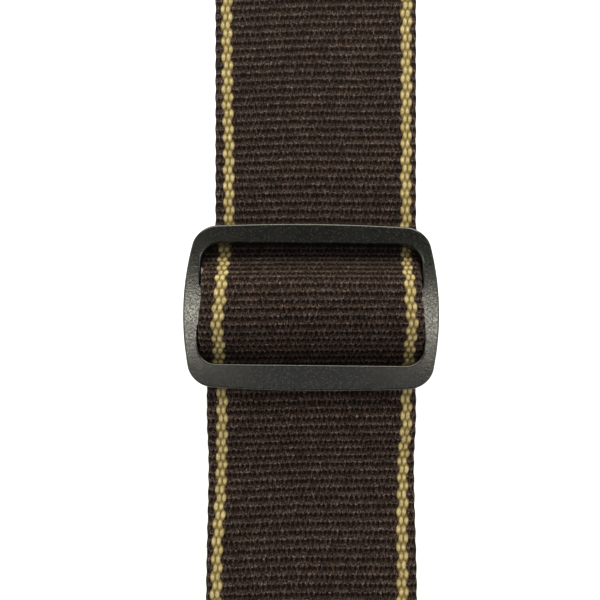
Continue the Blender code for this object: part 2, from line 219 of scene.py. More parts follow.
# Stage
SKY_COLOUR = (1, 0.985, 0.94, 1)
LIGHT_COLOUR = (1, 0.97, 0.8)
SOFTBOXES = (  # name, place, size and radiance
    ("softbox_left", (-0.246, 0.215, 1.0), (0.11, 0.11), 15.5),
    ("softbox_right", (0.294, 0.205, 1.0), (0.11, 0.1), 12.5),
    ("softbox_far", (0, 0.45, 0.27), (0.6, 0.28), 8.2),
    ("softbox_near", (0, -0.6, 0.3), (0.6, 0.06), 9.0),
)
CAMERA_PLACE = (-2.63 * MM, SLIDER_Y + 1.5 * MM, 133.2 * MM)
CAMERA_LENS = 29.8


def level(count):
    """Height of the middle of a webbing layer with count layers flat under it."""
    return CLOTH / 2 + count * PITCH


def smooth(low, high, at):
    part = np.clip((at - low) / (high - low), 0, 1)
    return part * part * (3 - 2 * part)


def lean(y):
    """Sideways place of the webbing's middle."""
    return LEAN_X_LOWER + (LEAN_X_UPPER - LEAN_X_LOWER) * smooth(-LEAN_RUN, LEAN_RUN, y)


def link(name, data):
    obj = bpy.data.objects.new(name, data)
    bpy.context.scene.collection.objects.link(obj)
    return obj


# ---------------------------------------------------------------- route of the webbing


def on_slider(y, z):
    """Strap coordinates of a place given in the tilted slider's own axes."""
    turned = Matrix.Rotation(-SLIDER_TILT, 3, "X") @ Vector((0, y, z))
    return turned.y, BAR_Z + turned.z


def wrap_knot(radius, heading):
    """Knot on the round of the given radius over the centre bar's upper edge."""
    polar = math.radians(heading) + SLIDER_TILT + math.pi / 2
    y, z = on_slider(LOOP_END + radius * math.cos(polar), radius * math.sin(polar))
    return y, z, heading


def fold_lift(folds):
    """How far folds that are stacked below lift a layer."""
    return folds * (2 * FOLD_RADIUS - PITCH)


def sewn_end_knots():
    """From the cut end up over the centre bar, round it, and under the folds to the ring."""
    tilt = math.degrees(SLIDER_TILT)
    y, z, heading = hump_knots()[1]
    rise = math.radians(heading)
    return [
        (TAIL_Y, level(5), 0),
        (-15.5 * MM, level(5), 0),
        (y + math.sin(rise) * PITCH, z - math.cos(rise) * PITCH, heading),
        (*on_slider(-1.5 * MM, LOOP_WRAP), -tilt),
        wrap_knot(LOOP_WRAP, -tilt),
        wrap_knot(LOOP_WRAP, -90 - tilt),
        wrap_knot(LOOP_WRAP, -172),
        (-14.5 * MM, level(4), -180),
        (FOLD_Y_LOW + FOLD_RISE, level(4), -180),
        (FOLD_Y_LOW, level(4) + fold_lift(2), -180),
        (RING_Y, RING_Z - RING_WRAP, 180),
    ]


def front_knots():
    """Round the ring, back on top, and up through the lower slot."""
    over_tack = level(6) + 2 * THREAD + GAP
    return [
        (RING_Y - RING_WRAP, RING_Z, 90),
        (RING_Y, RING_Z + RING_WRAP, 0),
        (FOLD_Y_LOW, level(4) + fold_lift(2) + PITCH, 0),
        (-38 * MM, 12.3 * MM, 0),
        (TACK_Y[0], over_tack, 0),
        (TACK_Y[1], over_tack, 0),
    ] + hump_knots()[:3]


def hump_knots():
    """Under the lower bar, over the centre bar and down behind the upper bar."""
    tilt = math.degrees(SLIDER_TILT)
    top = LOOP_WRAP + PITCH
    return [
        (-15.5 * MM, level(6), 0),
        (-9.0 * MM, 16.9 * MM, 38),
        (*on_slider(-1.5 * MM, top), -tilt),
        wrap_knot(top, -tilt),
        wrap_knot(top, -52),
        (11.2 * MM, 11.6 * MM, -52),
        (16.2 * MM, level(4), 0),
    ]


def slack_knots():
    """Lists of knots, one for each folded pass, each ending at the outermost point of its fold."""
    passes = []
    for index in range(PASSES):
        below = PASSES - 1 - index
        away = index % 2 == 0
        heading = 0 if away else 180
        low_end = [
            (FOLD_Y_LOW, level(below) + fold_lift((below + 1) // 2)),
            (FOLD_Y_LOW + FOLD_RISE, level(below)),
        ]
        high_end = [
            (FOLD_Y_HIGH - FOLD_RISE, level(below)),
            (FOLD_Y_HIGH, level(below) + fold_lift(below // 2)),
        ]
        if index == 0:
            low_end = []
        if index == PASSES - 1:
            high_end = []
        stretch = low_end + high_end
        if not away:
            stretch.reverse()
        knots = [(y, z, heading) for y, z in stretch]
        if index < PASSES - 1:
            y, z, _ = knots[-1]
            knots.append((y + (FOLD_RADIUS if away else -FOLD_RADIUS), z - FOLD_RADIUS, -90))
        passes.append(knots)
    passes[-1] += [
        (FOLD_Y_HIGH + 3 * MM, level(0), 0),
        (REAR_TAB_Y - 1 * MM, LEG_Z, 0),
        (REAR_TAB_Y + TAB_OVERLAP, LEG_Z, 0),
    ]
    return passes


def route(knots):
    """Points (y, z) along a path through knots (y, z, heading), bent in near-circular arcs."""
    points = [knots[0][:2]]
    for (y0, z0, a0), (y1, z1, a1) in zip(knots, knots[1:]):
        start, end = Vector((y0, z0, 0)), Vector((y1, z1, 0))
        turn = math.radians(abs((a1 - a0 + 180) % 360 - 180))
        reach = (end - start).length / (3 * math.cos(turn / 4) ** 2)
        out = Vector((math.cos(math.radians(a0)), math.sin(math.radians(a0)), 0))
        back = Vector((math.cos(math.radians(a1)), math.sin(math.radians(a1)), 0))
        bend = interpolate_bezier(start, start + out * reach, end - back * reach, end, ROUTE_STEPS + 1)
        points += [(point.x, point.y) for point in bend[1:]]
    return np.array(points)


class Route:
    """A path by arc length. start is the arc length that it begins at."""

    def __init__(self, knots, start=0.0):
        self.points = route(knots)
        steps = np.linalg.norm(np.diff(self.points, axis=0), axis=1)
        self.along = start + np.concatenate([[0], np.cumsum(steps)])
        self.start, self.end = self.along[0], self.along[-1]

    def at(self, s):
        """Places (y, z) at arc lengths s, and the path's direction at each."""
        nudge = 0.12 * MM
        ahead = self.read(np.minimum(s + nudge, self.end)) - self.read(np.maximum(s - nudge, self.start))
        ahead /= np.linalg.norm(ahead, axis=1)[:, None]
        return self.read(s), ahead

    def read(self, s):
        return np.stack([np.interp(s, self.along, self.points[:, axis]) for axis in (0, 1)], axis=1)


# ---------------------------------------------------------------- woven cloth


def hashed(*numbers):
    """A repeatable random number from 0 to 1 for each set of whole numbers."""
    mixed = sum(n * k for n, k in zip(numbers, (12.9898, 78.233, 37.719)))
    return np.modf(np.abs(np.sin(mixed) * 43758.5453))[0]


def wander(u, v, y):
    """How far the warp ends stray sideways: the left and right stripes each in their own way."""
    places, lefts, rights = zip(*STRIPE_DRIFT)
    left, right = (smooth_between(y, places, strays) for strays in (lefts, rights))
    share = np.clip(u / WIDTH, 0, 1)
    ripple = 0.06 * MM * np.sin(v / (3.1 * MM) + u / (2.3 * MM))
    return left * (1 - share) + right * share + ripple


def smooth_between(at, places, values):
    """Eased steps from value to value."""
    total = np.full(np.shape(at), float(values[0]))
    for low, high, before, after in zip(places, places[1:], values, values[1:]):
        total += (after - before) * smooth(low, high, at)
    return total


def weave(u, v, y):
    """Relief from 0 to 1, warp end, rib, and the woven places, at places u across and v along."""
    u = u - wander(u, v, y)
    bow = RIB_BOW * (RIB_BOW_LEAST + (1 - RIB_BOW_LEAST) * smooth(*RIB_BOW_RUN, np.abs(y)))
    waver = 0.15 * MM * np.sin(u / (14 * MM) + v / (19 * MM))
    v = v + waver - bow * smooth(0, WIDTH / 2, u)
    best = np.full(u.shape, -1.0)
    end = np.zeros(u.shape)
    rib = np.zeros(u.shape)
    nearest = np.floor(v / RIB)
    for row in (nearest - 1, nearest, nearest + 1):
        odd = np.mod(row, 2)
        shift = 0.5 * BUMP * odd
        number = np.round((u - shift) / BUMP)
        crown = 1 - 0.22 * hashed(number, row, 3.0)
        du = (u - shift - number * BUMP) / (0.5 * BUMP * BUMP_WIDE)
        dv = (v - (row + 0.5) * RIB) / (0.5 * RIB * BUMP_LONG)
        height = np.sqrt(np.maximum(0, 1 - du * du - dv * dv)) * crown
        higher = height > best
        best = np.where(higher, height, best)
        end = np.where(higher, 2 * number + odd, end)
        rib = np.where(higher, row, rib)
    ridge = np.abs(np.sin(math.pi * v / RIB))
    return best * (0.62 + 0.38 * ridge) + 0.12 * ridge, end, rib, u, v


def yarn_colour(end, rib, relief, u):
    """Colour of the yarn on top: gold in the two stripes, brown elsewhere, each bump a little its own,
    with painted shade in the gaps between the bumps.
    """
    gold = np.zeros(end.shape, bool)
    for first in STRIPE_STARTS:
        gold |= (end >= first) & (end < first + ENDS_IN_STRIPE)
    shade = 0.7 + 0.6 * hashed(end, rib, 11.0)
    warm = 0.4 * (hashed(end, rib, 29.0) - 0.5)
    brown = np.array(BROWN) * shade[..., None] * (1 + warm[..., None] * np.array([0.25, 0.0, -0.2]))
    margin = smooth(0.0, 2.2 * MM, np.minimum(u, WIDTH - u))
    brown *= (1.25 - 0.25 * margin)[..., None]
    bright = np.array(GOLD) * (0.9 + 0.2 * hashed(end, rib, 5.0))[..., None]
    # painted shade: the colour darkens where the relief is low, in the gaps between the bumps
    depth = 0.06 + 0.94 * np.clip(relief * 1.08, 0, 1)[..., None]
    is_gold = gold[..., None]
    shadow = np.where(is_gold, GOLD_SHADOW, BROWN_SHADOW)
    return np.where(is_gold, bright, brown) * depth**shadow, gold.astype(float)


def shade_beside_bars(y):
    """Painted shade on the cloth: its colour is darker beside the slider's outer bars, where they shade
    it.
    """
    off = np.abs(y)
    return 1 - PAINTED_SHADE_SHARE * smooth(*PAINTED_SHADE_START, off) * (1 - smooth(*PAINTED_SHADE_STOP, off))


def section(across_top, across_bottom):
    """Round the strip once: place across, the two parts of the way out, and share of the relief."""
    half = (WIDTH - CLOTH) / 2
    turns = np.radians(np.arange(72, -73, -18))
    stations = [(x, math.pi / 2, 1) for x in np.linspace(-half, half, across_top)]
    stations += [(half, turn, EDGE_RELIEF) for turn in turns]
    stations += [(x, -math.pi / 2, 1) for x in np.linspace(half, -half, across_bottom)]
    stations += [(-half, math.pi - turn, EDGE_RELIEF) for turn in turns[::-1]]
    x, angle, raised = np.array(stations).T
    return x, np.cos(angle), np.sin(angle), raised


def rows_along(path, finest, coarse, seen):
    """Arc lengths of the rows: close where seen(y) is true, and wider apart elsewhere."""
    rows = [path.start]
    while rows[-1] < path.end - finest * 0.6:
        y = np.interp(rows[-1], path.along, path.points[:, 0])
        rows.append(min(rows[-1] + (finest if seen(y) else coarse), path.end))
    rows[-1] = path.end
    return np.array(rows)


def woven_strip(name, path, mesh, fine_at=lambda y: True, tail=0.0, bulge=None, leaning=True):
    """A length of webbing as one closed mesh, its weave in real relief on both faces.

    Rows are closest where fine_at(y) is true. tail steps the strip's start aside, and
    bulge(y, side) gives how far its left (-1) or right (1) margin spreads.
    """
    across, rows = mesh
    s = rows_along(path, *rows, fine_at)
    place, ahead = path.at(s)
    y = place[:, :1]
    x, out_x, out_n, raised = section(*across)
    grid_s, grid_x = np.meshgrid(s, x, indexing="ij")
    u = grid_x + WIDTH / 2 + CLOTH / 2 * out_x
    pressed = RIB_PRESS * smooth(*RIB_PRESS_RUN, y)
    relief, end, rib, woven_u, woven_v = weave(u, grid_s + pressed, y * np.ones_like(u))
    selvage = np.clip(np.minimum(u, WIDTH - u) / SELVAGE, 0, 1)
    loft = CLOTH / 2 - RELIEF * 0.86 * (1 - np.abs(out_x))
    loft = loft + RELIEF * relief * raised * (0.45 + 0.55 * selvage) * (1 - 0.7 * np.abs(out_x))
    spread = EDGE_SCALLOP * np.cos(math.pi * grid_s / RIB + np.where(out_x > 0, 1.3, 0)) * out_x
    if bulge:
        side = np.sign(grid_x)
        spread = spread + side * bulge(y, side) * smooth(*SPREAD_MARGIN, np.abs(grid_x))
    middle = np.zeros_like(s)
    if leaning:
        middle = lean(place[:, 0]) + TAIL_STEP_X * tail * (1 - smooth(*TAIL_STEP_RUN, s))
    left = np.stack([-ahead[:, 1], ahead[:, 0]], axis=1)
    points = np.empty(grid_s.shape + (3,))
    points[..., 0] = middle[:, None] + grid_x + out_x * loft + spread
    for axis in (0, 1):
        points[..., 1 + axis] = place[:, axis, None] + left[:, axis, None] * out_n * loft
    points[..., 1] += SLIDER_Y
    colour, gold = yarn_colour(end, rib, relief, u)
    # painted shade of the slider's outer bars on the cloth
    colour = colour * shade_beside_bars(y)[..., None]
    return grid_object(name, points, colour, np.stack([woven_u, woven_v, gold], axis=-1))


def grid_object(name, points, colour, weave_place):
    """A mesh from rows of closed sections, with a cap at each end."""
    rows, around = points.shape[:2]
    index = np.arange(rows * around).reshape(rows, around)
    after = np.roll(index, -1, axis=1)
    quads = np.stack([index[:-1], index[1:], after[1:], after[:-1]], axis=-1).reshape(-1, 4)
    mesh = bpy.data.meshes.new(name)
    mesh.vertices.add(rows * around)
    mesh.vertices.foreach_set("co", points.reshape(-1).astype(np.float32))
    loops = np.concatenate([quads.ravel(), index[0], index[-1][::-1]])
    starts = np.concatenate([np.arange(len(quads)) * 4, [len(quads) * 4, len(quads) * 4 + around]])
    mesh.loops.add(len(loops))
    mesh.loops.foreach_set("vertex_index", loops.astype(np.int32))
    mesh.polygons.add(len(starts))
    mesh.polygons.foreach_set("loop_start", starts.astype(np.int32))
    mesh.update(calc_edges=True)
    mesh.validate()
    mesh.shade_smooth()
    tint = mesh.color_attributes.new("tint", "FLOAT_COLOR", "POINT")
    rgba = np.concatenate([colour.reshape(-1, 3), np.ones((rows * around, 1))], axis=1)
    tint.data.foreach_set("color", rgba.astype(np.float32).ravel())
    where = mesh.attributes.new("weave", "FLOAT_VECTOR", "POINT")
    where.data.foreach_set("vector", weave_place.astype(np.float32).ravel())
    return link(name, mesh)


# ---------------------------------------------------------------- materials


class Nodes:
    """The node tree of a material or a world, with short ways to add and link nodes."""

    def __init__(self, owner):
        self.owner = owner
        owner.use_nodes = True
        self.tree = owner.node_tree
        self.shader = self.tree.nodes.get("Principled BSDF")

    def add(self, kind, settings=None, inputs=None):
        node = self.tree.nodes.new("ShaderNode" + kind)
        for key, value in (settings or {}).items():
            setattr(node, key, value)
        for key, value in (inputs or {}).items():
            self.give(node, key, value)
        return node

    def give(self, node, key, value):
        socket = node.inputs[key]
        if isinstance(value, bpy.types.NodeSocket):
            self.tree.links.new(value, socket)
        else:
            socket.default_value = value

    def attribute(self, name, output="Vector"):
        return self.add("Attribute", {"attribute_name": name}).outputs[output]

    def split(self, vector):
        return list(self.add("SeparateXYZ", inputs={0: vector}).outputs)

    def math(self, operation, a, b=0.5):
        return self.add("Math", {"operation": operation}, {0: a, 1: b}).outputs[0]

    def noise(self, scale, vector, detail=3.0, roughness=0.5):
        found = {"Vector": vector, "Scale": scale, "Detail": detail, "Roughness": roughness}
        return self.add("TexNoise", inputs=found).outputs["Fac"]

    def mix(self, factor, a, b, blend="MIX"):
        node = self.add("Mix", {"data_type": "RGBA", "blend_type": blend})
        self.give(node, 0, factor)
        self.give(node, 6, a)
        self.give(node, 7, b)
        return node.outputs[2]

    def grey(self, red, green, blue):
        return self.add("CombineColor", inputs={0: red, 1: green, 2: blue}).outputs[0]

    def ramp(self, value, stops):
        """Brightness by value, through stops (value, brightness)."""
        node = self.add("ValToRGB", inputs={0: value})
        elements = node.color_ramp.elements
        while len(elements) < len(stops):
            elements.new(0.5)
        for element, (at, bright) in zip(elements, stops):
            element.position = at
            element.color = (bright, bright, bright, 1)
        return node.outputs[0]

    def stretched(self, vector, scale):
        return self.add("Mapping", inputs={"Vector": vector, "Scale": scale}).outputs["Vector"]

    def spread(self, value, low, high, to_low, to_high, ease="LINEAR"):
        found = {"Value": value, "From Min": low, "From Max": high, "To Min": to_low, "To Max": to_high}
        return self.add("MapRange", {"interpolation_type": ease}, found).outputs["Result"]

    def bump(self, height, distance, strength=1.0, normal=None):
        found = {"Height": height, "Distance": distance, "Strength": strength}
        if normal:
            found["Normal"] = normal
        return self.add("Bump", inputs=found).outputs["Normal"]


def webbing_material():
    """Warp yarns: the ends' teeth, a painted highlight along each rib's lit side, and painted shade under
    it in the gaps between the teeth.
    """
    n = Nodes(bpy.data.materials.new("webbing"))
    tint = n.attribute("tint", "Color")
    place = n.attribute("weave")
    across, along, gold = n.split(place)
    stray = n.noise(1.0, n.stretched(place, (1500, 420, 0)), 2.0, 0.6)
    serrated = n.math("ADD", along, n.spread(stray, 0.3, 0.7, -0.24 * MM, 0.24 * MM))
    ribs = n.math("ADD", n.math("DIVIDE", serrated, RIB), 0.5)
    # painted highlight on each rib's lit side and painted shade below it; the teeth are the weave's own
    # pattern
    line = n.ramp(n.math("FRACT", ribs), RIB_LIGHT_AND_SHADE)
    odd = n.math("MULTIPLY", n.math("FLOORED_MODULO", n.math("FLOOR", ribs), 2.0), 0.5)
    wave = n.math("MULTIPLY", n.math("ADD", n.math("DIVIDE", across, BUMP), odd), math.pi)
    tooth = n.math("POWER", n.math("ABSOLUTE", n.math("COSINE", wave)), 2.0)
    blotch = n.spread(n.noise(1.0, n.stretched(place, (2300, 900, 0)), 2.0, 0.6), 0.36, 0.64, 0.15, 1.0)
    fleck = n.spread(n.noise(1.0, n.stretched(place, (2900, 2300, 0)), 2.0, 0.7), 0.34, 0.66, 0.0, 2.3)
    toothed = n.spread(n.math("MULTIPLY", tooth, blotch), 0.0, 1.0, 0.06, 1.0)
    gap = n.math("POWER", n.math("SUBTRACT", 1.0, line), 0.5)
    teeth = n.math("MULTIPLY", n.math("MULTIPLY", toothed, gap), 0.55)
    lit = n.math("MULTIPLY", line, n.spread(blotch, 0.15, 1.0, 0.55, 1.0))
    brown = n.math("POWER", n.math("MULTIPLY", n.math("ADD", lit, teeth), fleck), 1.3)
    bright = n.spread(n.noise(1.0, n.stretched(place, (4200, 1500, 0)), 3.0, 0.6), 0.3, 0.7, 0.55, 1.5)
    red = n.add("Mix", inputs={0: gold, 2: brown, 3: bright}).outputs[0]
    plain = n.math("SUBTRACT", 1.0, gold)
    green = n.math("POWER", red, n.spread(plain, 0.0, 1.0, 1.0, 1.18))
    blue = n.math("POWER", red, n.spread(plain, 0.0, 1.0, 1.0, 1.3))
    n.give(n.shader, "Base Color", n.mix(1.0, tint, n.grey(red, green, blue), "MULTIPLY"))
    n.give(n.shader, "Roughness", 0.8)
    n.give(n.shader, "Specular IOR Level", 0.06)
    n.give(n.shader, "Normal", n.bump(red, 0.12 * MM, 0.7))
    return n.owner


def plastic_material(name):
    """Satin black moulding: a fine spark-eroded grain, lighter specks painted into its colour as the
    grain's glints, and a faint unevenness of gloss.
    """
    n = Nodes(bpy.data.materials.new(name))
    place = n.add("TexCoord").outputs["Object"]
    grain = n.noise(2100.0, place, 1.0, 0.6)
    haze = n.noise(160.0, place, 3.0, 0.5)
    # painted glints: lighter specks in the colour where the grain would catch the light
    glint_speck = n.spread(grain, 0.48, 0.66, 0.0, 1.0)
    uneven = n.spread(haze, 0.3, 0.7, PLASTIC_ROUGH - 0.02, PLASTIC_ROUGH + 0.02)
    n.give(n.shader, "Base Color", n.mix(glint_speck, PLASTIC, PLASTIC_GLINT))
    n.give(n.shader, "Roughness", n.math("ADD", uneven, n.spread(grain, 0.38, 0.62, 0.05, -0.045)))
    n.give(n.shader, "IOR", 1.49)
    n.give(n.shader, "Normal", n.bump(grain, 0.012 * MM, 1.0))
    return n.owner


def leather_material():
    """Waxed dark brown leather: pebbled grain, pores, clouds of shade, and burnished darker edges."""
    n = Nodes(bpy.data.materials.new("leather"))
    place = n.add("TexCoord").outputs["Object"]
    rim, groove, _ = n.split(n.attribute("wear"))
    grain = {"Vector": place, "Scale": 1150.0, "Smoothness": 0.6}
    pebble = n.add("TexVoronoi", {"feature": "SMOOTH_F1"}, grain).outputs["Distance"]
    pores = n.add("TexVoronoi", {"feature": "F1"}, {"Vector": place, "Scale": 520.0}).outputs["Distance"]
    fine = n.noise(2400.0, place, 4.0, 0.6)
    clouds = n.noise(42.0, place, 4.0, 0.55)
    pore = n.spread(pores, 0.05, 0.22, 0.0, 1.0)
    dark = n.mix(n.spread(clouds, 0.35, 0.68, 0.0, 1.0), LEATHER_DARK, LEATHER_LIGHT)
    pitted = n.mix(n.spread(pore, 0.0, 1.0, 0.45, 0.0), dark, LEATHER_PORE)
    grooved = n.mix(n.math("MULTIPLY", groove, 0.5), pitted, LEATHER_GROOVE)
    uneven = n.spread(clouds, 0.3, 0.7, 0.40, 0.55)
    relief = n.math("ADD", n.math("MULTIPLY", pebble, 0.8), n.math("MULTIPLY", fine, 0.35))
    soft = n.bump(relief, 0.22 * MM, 0.55)
    n.give(n.shader, "Base Color", n.mix(n.math("MULTIPLY", rim, 0.85), grooved, LEATHER_RIM))
    n.give(n.shader, "Roughness", n.math("ADD", uneven, n.math("MULTIPLY", rim, 0.15)))
    n.give(n.shader, "Specular IOR Level", 0.3)
    n.give(n.shader, "Normal", n.bump(pore, 0.12 * MM, 0.6, soft))
    return n.owner


def thread_material(name, colour):
    """Bonded thread, with the lay of its three strands."""
    n = Nodes(bpy.data.materials.new(name))
    round_it, _, _ = n.split(n.attribute("twist"))
    strands = n.math("SINE", n.math("MULTIPLY", round_it, 6 * math.pi))
    lint = n.noise(3800.0, n.add("TexCoord").outputs["Object"], 3.0, 0.6)
    # partly painted shade, darker between the three strands, and partly random lint tone
    shade = n.math("ADD", n.spread(strands, -1.0, 1.0, 0.55, 1.05), n.spread(lint, 0.3, 0.7, -0.12, 0.12))
    n.give(n.shader, "Base Color", n.mix(1.0, colour, n.grey(shade, shade, shade), "MULTIPLY"))
    n.give(n.shader, "Roughness", 0.5)
    n.give(n.shader, "Sheen Weight", 0.05)
    n.give(n.shader, "Normal", n.bump(strands, 0.12 * MM, 0.8))
    return n.owner


# ---------------------------------------------------------------- moulded pieces


def bowed_outline(half_x, low_y, high_y, side_bow, end_bow, corners):
    """A box outline with bowed sides and ends, its lower and upper corners rounded."""
    arc, flank = 14, 8  # points round a corner, and from it to the middle of a side
    mid, half_y = (low_y + high_y) / 2, (high_y - low_y) / 2

    def side(sign, part):
        return Vector((sign * (half_x - side_bow * part * part), mid + part * half_y, 0))

    def end(sign, part):
        return Vector((part * (half_x - side_bow), mid + sign * (half_y - end_bow * part * part), 0))

    points = []
    for sx, sy in ((1, 1), (-1, 1), (-1, -1), (1, -1)):
        corner = corners[sy > 0]
        cut_x, cut_y = 1 - corner / half_x, 1 - corner / half_y
        tip = Vector((sx * (half_x - side_bow), mid + sy * (half_y - end_bow), 0))
        from_side, from_end = side(sx, sy * cut_y), end(sy, sx * cut_x)
        bend = interpolate_bezier(
            from_side, from_side.lerp(tip, 0.6), from_end.lerp(tip, 0.6), from_end, arc
        )
        stretch = [side(sx, sy * cut_y * n / flank) for n in range(flank)] + bend
        stretch += [end(sy, sx * cut_x * (1 - n / flank)) for n in range(1, flank + 1)]
        if sx * sy < 0:
            stretch.reverse()
        points += stretch[:-1]
    return points


def poly_curve(outlines):
    curve = bpy.data.curves.new("outline", "CURVE")
    for points in outlines:
        spline = curve.splines.new("POLY")
        spline.points.add(len(points) - 1)
        for target, point in zip(spline.points, points):
            target.co = (*point, 1)
        spline.use_cyclic_u = True
    return curve


def curve_mesh(curve):
    """The mesh that a curve makes, its seams welded."""
    holder = link("outline", curve)
    graph = bpy.context.evaluated_depsgraph_get()
    data = bpy.data.meshes.new_from_object(holder.evaluated_get(graph))
    bpy.data.objects.remove(holder)
    mesh = bmesh.new()
    mesh.from_mesh(data)
    bmesh.ops.remove_doubles(mesh, verts=mesh.verts, dist=0.000005)
    bmesh.ops.recalc_face_normals(mesh, faces=mesh.faces)
    mesh.to_mesh(data)
    mesh.free()
    data.materials.clear()
    return data


def plate(outlines, half_thick, rounding):
    """A flat moulding from an outer outline and its holes, with rounded edges."""
    curve = poly_curve(outlines)
    curve.dimensions = "2D"
    curve.fill_mode = "BOTH"
    curve.extrude = half_thick - rounding
    curve.bevel_depth = rounding
    curve.bevel_resolution = 4
    curve.offset = -rounding
    data = curve_mesh(curve)
    data.shade_smooth()
    data.set_sharp_from_angle(angle=math.radians(40))
    for face in data.polygons:
        face.use_smooth = abs(face.normal.z) < 0.9999
    return data


def slider():
    """The three-bar slider, as in the CAD but with finely rounded edges."""
    low, high = LOWER_BAR - SLIDER_HALF_Y, SLIDER_HALF_Y - UPPER_BAR
    corners = (SLIDER_CORNER, SLIDER_CORNER)
    outer = bowed_outline(SLIDER_HALF_X, -SLIDER_HALF_Y, SLIDER_HALF_Y, SIDE_BOW, END_BOW, corners)
    lower = bowed_outline(SLOT_HALF_X, low, -CENTRE_BAR_HALF, SLOT_BOW, 0, LOWER_SLOT_CORNERS)
    upper = bowed_outline(SLOT_HALF_X, CENTRE_BAR_HALF, high, SLOT_BOW, 0, UPPER_SLOT_CORNERS)
    obj = link("slider_moulding", plate([outer, lower, upper], SLIDER_THICK / 2, SLIDER_ROUND))
    obj.location = (0, SLIDER_Y, BAR_Z)
    obj.rotation_euler = (-SLIDER_TILT, 0, -SLIDER_SKEW)
    obj.data.materials.append(plastic_material("slider_plastic"))
    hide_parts("slider")
    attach(obj, "slider")


def ring():
    """The rectangular ring, moulded round in section."""
    corners = (RING_CORNER, RING_CORNER)
    curve = poly_curve([bowed_outline(RING_HALF_X, RING_Y - RING_LENGTH, RING_Y, 0, 0, corners)])
    curve.dimensions = "3D"
    curve.bevel_depth = RING_WIRE
    curve.bevel_resolution = 8
    obj = link("ring_moulding", curve_mesh(curve))
    obj.data.shade_smooth()
    obj.location = (0, SLIDER_Y, RING_Z)
    obj.data.materials.append(plastic_material("ring_plastic"))
    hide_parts("ring")
    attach(obj, "ring")


# ---------------------------------------------------------------- leather ends


def tab_half_width(along):
    """Half width of a leather end, counted from its webbing end to its tip."""
    tip_start = TAB_LENGTH - TAB_HALF_TIP
    if along > tip_start:
        return math.sqrt(max(TAB_HALF_TIP**2 - (along - tip_start) ** 2, 0))
    return TAB_HALF_WIDE + (TAB_HALF_TIP - TAB_HALF_WIDE) * float(smooth(*TAB_TAPER, along))


def tab_side(inset):
    """Points (across, along) down the right side of a leather end's outline, inset by some way."""
    tip_start = TAB_LENGTH - TAB_HALF_TIP
    corner_steps, side_steps, tip_steps = 6, 31, 24
    points = []
    for n in range(corner_steps + 1):
        angle = math.radians(90 * n / corner_steps)
        reach = TAB_HALF_WIDE - inset - TAB_CORNER
        points.append((reach + TAB_CORNER * math.sin(angle), inset + TAB_CORNER * (1 - math.cos(angle))))
    for n in range(1, side_steps):
        along = inset + TAB_CORNER + (tip_start - inset - TAB_CORNER) * n / side_steps
        points.append((tab_half_width(along) - inset, along))
    for n in range(tip_steps + 1):
        angle = math.radians(90 * n / tip_steps)
        reach = TAB_HALF_TIP - inset
        points.append((reach * math.cos(angle), tip_start + reach * math.sin(angle)))
    return points


def tab_outline(inset=0.0):
    right = tab_side(inset)
    return right + [(-across, along) for across, along in reversed(right[:-1])]


def keyhole_outline():
    """The button hole with the slit that runs from it towards the webbing."""
    middle = TAB_LENGTH - HOLE_FROM_TIP
    half = SLIT_WIDTH / 2
    first = math.asin(half / HOLE_RADIUS)
    hole_steps, slit_steps = 40, 8
    points = []
    for n in range(hole_steps + 1):
        angle = -math.pi / 2 + first + (2 * math.pi - 2 * first) * n / hole_steps
        points.append((HOLE_RADIUS * math.cos(angle), middle + HOLE_RADIUS * math.sin(angle)))
    far = middle - HOLE_RADIUS - SLIT_LENGTH + half
    for n in range(slit_steps + 1):
        angle = math.pi + math.pi * n / slit_steps
        points.append((half * math.cos(angle), far + half * math.sin(angle)))
    return points


def gap_to_outline(across, along):
    """How far each point lies inside a leather end's outline, near enough for its groove."""
    tip_start = TAB_LENGTH - TAB_HALF_TIP
    wide = TAB_HALF_WIDE + (TAB_HALF_TIP - TAB_HALF_WIDE) * smooth(*TAB_TAPER, along)
    beside = np.minimum(wide - np.abs(across), along)
    round_tip = TAB_HALF_TIP - np.hypot(across, np.maximum(along - tip_start, 0))
    return np.where(along > tip_start, round_tip, beside)


def cut_into_cells(data):
    """Cut a leather layer's mesh into small cells."""
    lengthways = np.arange(LEATHER_CELL, TAB_LENGTH, LEATHER_CELL)
    sideways = np.arange(LEATHER_CELL - TAB_HALF_WIDE, TAB_HALF_WIDE, LEATHER_CELL)
    cuts = [((0, y, 0), (0, 1, 0)) for y in lengthways] + [((x, 0, 0), (1, 0, 0)) for x in sideways]
    mesh = bmesh.new()
    mesh.from_mesh(data)
    for place, normal in cuts:
        everything = mesh.verts[:] + mesh.edges[:] + mesh.faces[:]
        bmesh.ops.bisect_plane(mesh, geom=everything, dist=1e-6, plane_co=place, plane_no=normal)
    mesh.to_mesh(data)
    mesh.free()


